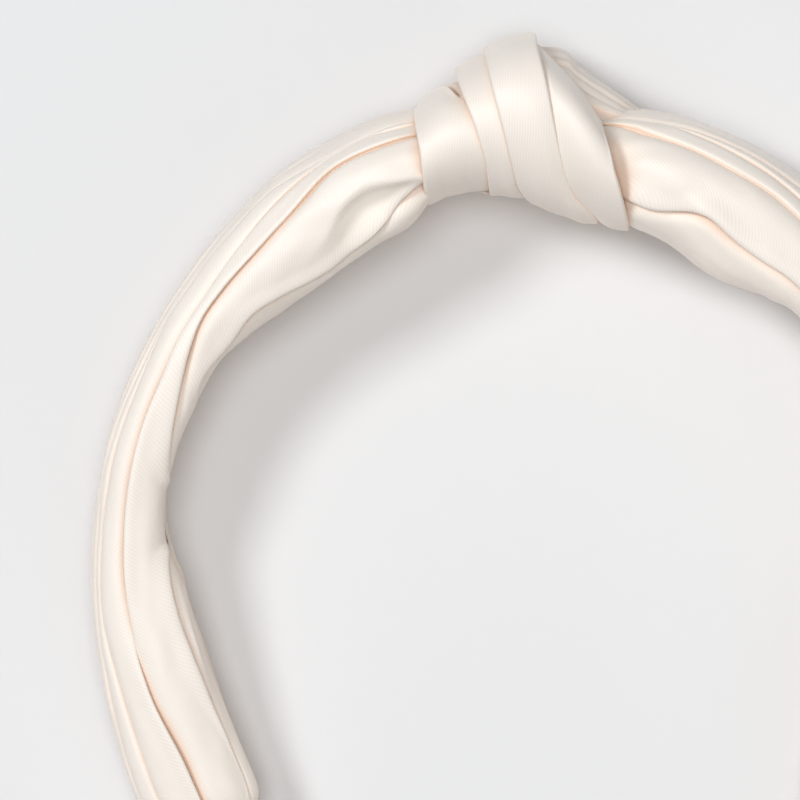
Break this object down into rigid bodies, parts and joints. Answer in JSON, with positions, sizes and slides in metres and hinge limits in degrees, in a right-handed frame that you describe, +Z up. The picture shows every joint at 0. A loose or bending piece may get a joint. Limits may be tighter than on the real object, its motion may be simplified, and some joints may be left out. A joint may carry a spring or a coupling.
{
  "type": "knotted headband",
  "caption": "Springy U-shaped headband in a pleated satin tube tied in an off-centre overhand knot over the crown, lying on its side, with ribbon-wrapped tips.",
  "frame": {"origin": "centre of the headband's footprint, at the table it lies on", "axes": "+Z up from the table across the band's width; +Y from the tips to the crown and knot; +X to the right arm, seen from above with the crown at the top"},
  "size_m": [0.1442, 0.1447, 0.0438],
  "materials": {
    "satin": "soft satin weave, ivory cream",
    "tip_ribbon": "fine ribbed ribbon, cream",
    "lining_ribbon": "fine ribbed ribbon, cream",
    "core_plastic": "smooth matt",
    "foam": "open-cell foam strip",
    "thread": "matt thread"
  },
  "bodies": {
    "crown": {"core_crown": "core_plastic", "padding_crown": "foam", "lining_crown": "lining_ribbon", "cover_crown": "satin", "knot_collar_fold": "satin", "knot_left_fold": "satin", "knot_front_fold": "satin", "knot_right_fold": "satin", "knot_back_strand": "satin", "knot_tack_stitches": "thread"},
    "left_arm": {"core_left": "core_plastic", "padding_left": "foam", "lining_left": "lining_ribbon", "cover_left": "satin", "tip_wrap_left": "tip_ribbon"},
    "right_arm": {"core_right": "core_plastic", "padding_right": "foam", "lining_right": "lining_ribbon", "cover_right": "satin", "tip_wrap_right": "tip_ribbon"}
  },
  "joints": [
    {"name": "left_arm_flex", "type": "hinge", "parent": "crown", "child": "left_arm", "pos_m": [-0.04243, 0.04913, 0.02133], "axis": [0, 0.1088, -0.9941], "range_deg": [-4, 14], "stiffness_Nm_per_rad": 1.5},
    {"name": "right_arm_flex", "type": "hinge", "parent": "crown", "child": "right_arm", "pos_m": [0.04243, 0.04913, 0.02133], "axis": [0, -0.1088, 0.9941], "range_deg": [-4, 14], "stiffness_Nm_per_rad": 1.5}
  ]
}
